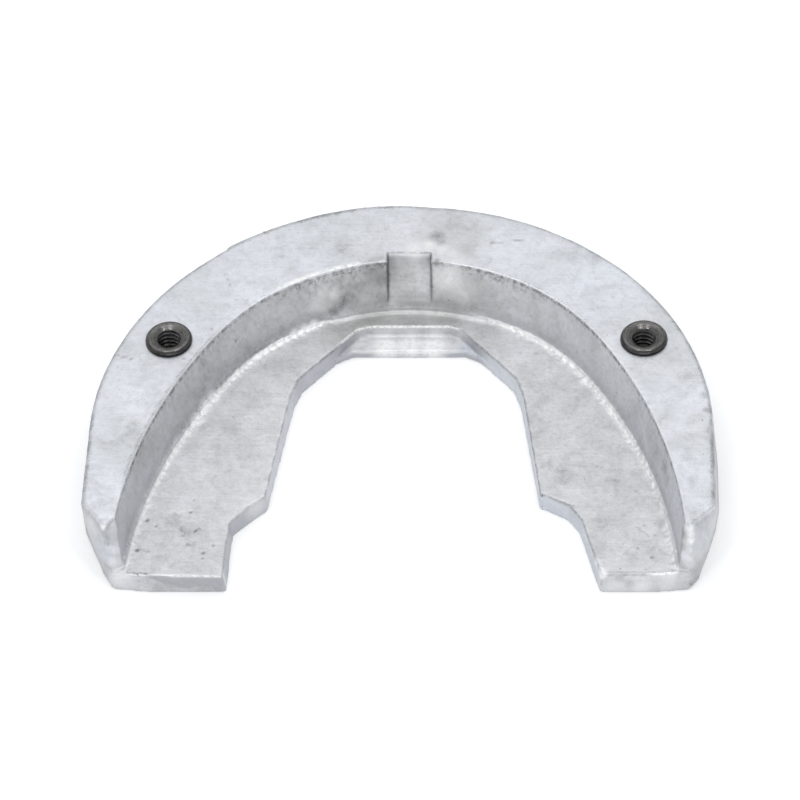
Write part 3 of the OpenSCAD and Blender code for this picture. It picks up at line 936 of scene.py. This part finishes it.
def cut_thread(bm, settings, thread_top, thread_end, start):
    """Cuts the thread's roots into the bore, and marks how black each vertex is."""
    black = bm.verts.layers.float.new("black")
    for v in bm.verts:
        r = math.hypot(v.co.x, v.co.y)
        if r < 2.7 * MM and thread_end - 0.01 * MM <= v.co.z <= thread_top + 0.01 * MM:
            turn = math.atan2(v.co.y, v.co.x) / math.tau + start
            phase = (v.co.z / settings.pitch - turn) % 1.0
            tooth = min(abs(phase - 0.5) * 2.6, 1.0)
            lead_in = v.co.z - (thread_top - 0.12 * MM)
            fade = (thread_top - v.co.z) * 1.6 + 0.1 * MM
            grow = max(min(settings.depth * tooth, fade), lead_in)
            v.co.x *= (r + grow) / r
            v.co.y *= (r + grow) / r
            v[black] = 0.35 + 0.65 * tooth
        elif v.co.z < RIM_Z * MM + 0.6 * MM:
            v[black] = 1.0
        elif r > LIP_R * MM:
            v[black] = 0.6


class ANODE_OT_bushes(bpy.types.Operator):
    """Builds both bushes as turned parts with a real thread"""

    bl_idname = "anode.bushes"
    bl_label = "Threaded Bushes"

    def execute(self, context):
        settings = context.scene.anode_bushes
        for side, node, start in ((-1, "bush_left", 0.15), (1, "bush_right", 0.62)):
            low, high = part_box(node)
            thread_top = high.z - THREAD_TOP * MM
            thread_end = high.z - THREAD_END * MM
            bm = turned_bush(low, high, thread_top, thread_end, settings.steps)
            cut_thread(bm, settings, thread_top, thread_end, start)
            centre = Vector((CORE_X + side * BUSH_PITCH / 2, BUSH_Y, 0)) * MM
            bmesh.ops.translate(bm, verts=bm.verts, vec=centre)
            bm.normal_update()
            place_piece(bm, "threaded_" + node, turned_steel(settings, side), node)
        return {"FINISHED"}


def soft_lamp(name, size, place, watts):
    lamp = bpy.data.lights.new(name, "AREA")
    lamp.shape = "RECTANGLE"
    lamp.size, lamp.size_y = size
    lamp.energy = watts
    holder = bpy.data.objects.new(name, lamp)
    holder.location = place
    holder.rotation_euler = (-Vector(place)).to_track_quat("-Z", "Y").to_euler()
    bpy.context.scene.collection.objects.link(holder)


def white_paper():
    """Diffuse paper that glows for the camera and in reflections, so that it reads as white."""
    material = bpy.data.materials.new("white paper")
    nodes = Nodes(material)
    rays = nodes.add("LightPath").outputs
    seen = highest(*[Field(nodes, rays[name]) for name in (
        "Is Camera Ray", "Is Glossy Ray", "Is Transmission Ray")])
    paper = nodes.add("BsdfDiffuse", {"Color": opaque(PAPER_COLOUR)}).outputs[0]
    glow = nodes.add("Emission", {"Color": (1, 1, 1, 1), "Strength": PAPER_GLOW}).outputs[0]
    lit = nodes.add("AddShader", {0: paper, 1: glow}).outputs[0]
    nodes.finish(nodes.add("MixShader", {"Fac": seen, 1: paper, 2: lit}).outputs[0])
    return material


class ANODE_OT_stage(bpy.types.Operator):
    """Sets up the floor, the soft lamps and the camera"""

    bl_idname = "anode.stage"
    bl_label = "Studio"

    def execute(self, context):
        self.floor()
        self.world(context.scene)
        for lamp in LAMPS:
            soft_lamp(*lamp)
        self.camera(context.scene, context.scene.anode_stage)
        context.scene.view_settings.view_transform = "Standard"
        return {"FINISHED"}

    def floor(self):
        bm = bmesh.new()
        bmesh.ops.create_grid(bm, x_segments=1, y_segments=1, size=4.0)
        mesh = bpy.data.meshes.new("floor")
        bm.to_mesh(mesh)
        bm.free()
        mesh.materials.append(white_paper())
        floor = bpy.data.objects.new("floor", mesh)
        bpy.context.scene.collection.objects.link(floor)
        floor.location.z = -0.02 * MM

    def world(self, scene):
        scene.world = bpy.data.worlds.new("soft room")
        nodes = Nodes(scene.world)
        room = nodes.add("Background", {"Color": opaque(ROOM_COLOUR), "Strength": ROOM_STRENGTH})
        nodes.add("OutputWorld", {"Surface": room.outputs[0]})

    def camera(self, scene, settings):
        target = Vector((-1.36, 4.95, 0)) * MM
        level = math.cos(settings.elevation)
        back = Vector((math.sin(settings.yaw) * level, -math.cos(settings.yaw) * level,
                       math.sin(settings.elevation)))
        data = bpy.data.cameras.new("photo camera")
        data.sensor_width = 36
        data.lens = settings.lens
        data.clip_start = 0.05
        data.clip_end = 20
        camera = bpy.data.objects.new("photo camera", data)
        turn = (-back).to_track_quat("-Z", "Y").to_matrix() @ Matrix.Rotation(settings.roll, 3, "Z")
        camera.matrix_world = Matrix.Translation(target + back * settings.distance) @ turn.to_4x4()
        scene.collection.objects.link(camera)
        scene.camera = camera


class ANODE_PT_panel(bpy.types.Panel):
    """Lists the steps that build the anode"""

    bl_idname = "ANODE_PT_panel"
    bl_label = "Horseshoe Anode"
    bl_space_type = "VIEW_3D"
    bl_region_type = "UI"
    bl_category = "Anode"

    def draw(self, context):
        groups = (
            (ANODE_OT_casting, context.scene.anode_casting),
            (ANODE_OT_bushes, context.scene.anode_bushes),
            (ANODE_OT_stage, context.scene.anode_stage))
        for operator, settings in groups:
            box = self.layout.box()
            for name in settings.__annotations__:
                box.prop(settings, name)
            box.operator(operator.bl_idname)


SETTINGS = {
    "anode_casting": CastingSettings,
    "anode_bushes": BushSettings,
    "anode_stage": StageSettings,
}
CLASSES = (*SETTINGS.values(), ANODE_OT_casting, ANODE_OT_bushes, ANODE_OT_stage, ANODE_PT_panel)


def register():
    for cls in CLASSES:
        bpy.utils.register_class(cls)
    for name, group in SETTINGS.items():
        setattr(bpy.types.Scene, name, PointerProperty(type=group))


def unregister():
    for name in SETTINGS:
        delattr(bpy.types.Scene, name)
    for cls in reversed(CLASSES):
        bpy.utils.unregister_class(cls)


def main():
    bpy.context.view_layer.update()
    register()
    bpy.ops.anode.casting()
    bpy.ops.anode.bushes()
    bpy.ops.anode.stage()


if __name__ == "__main__":
    main()
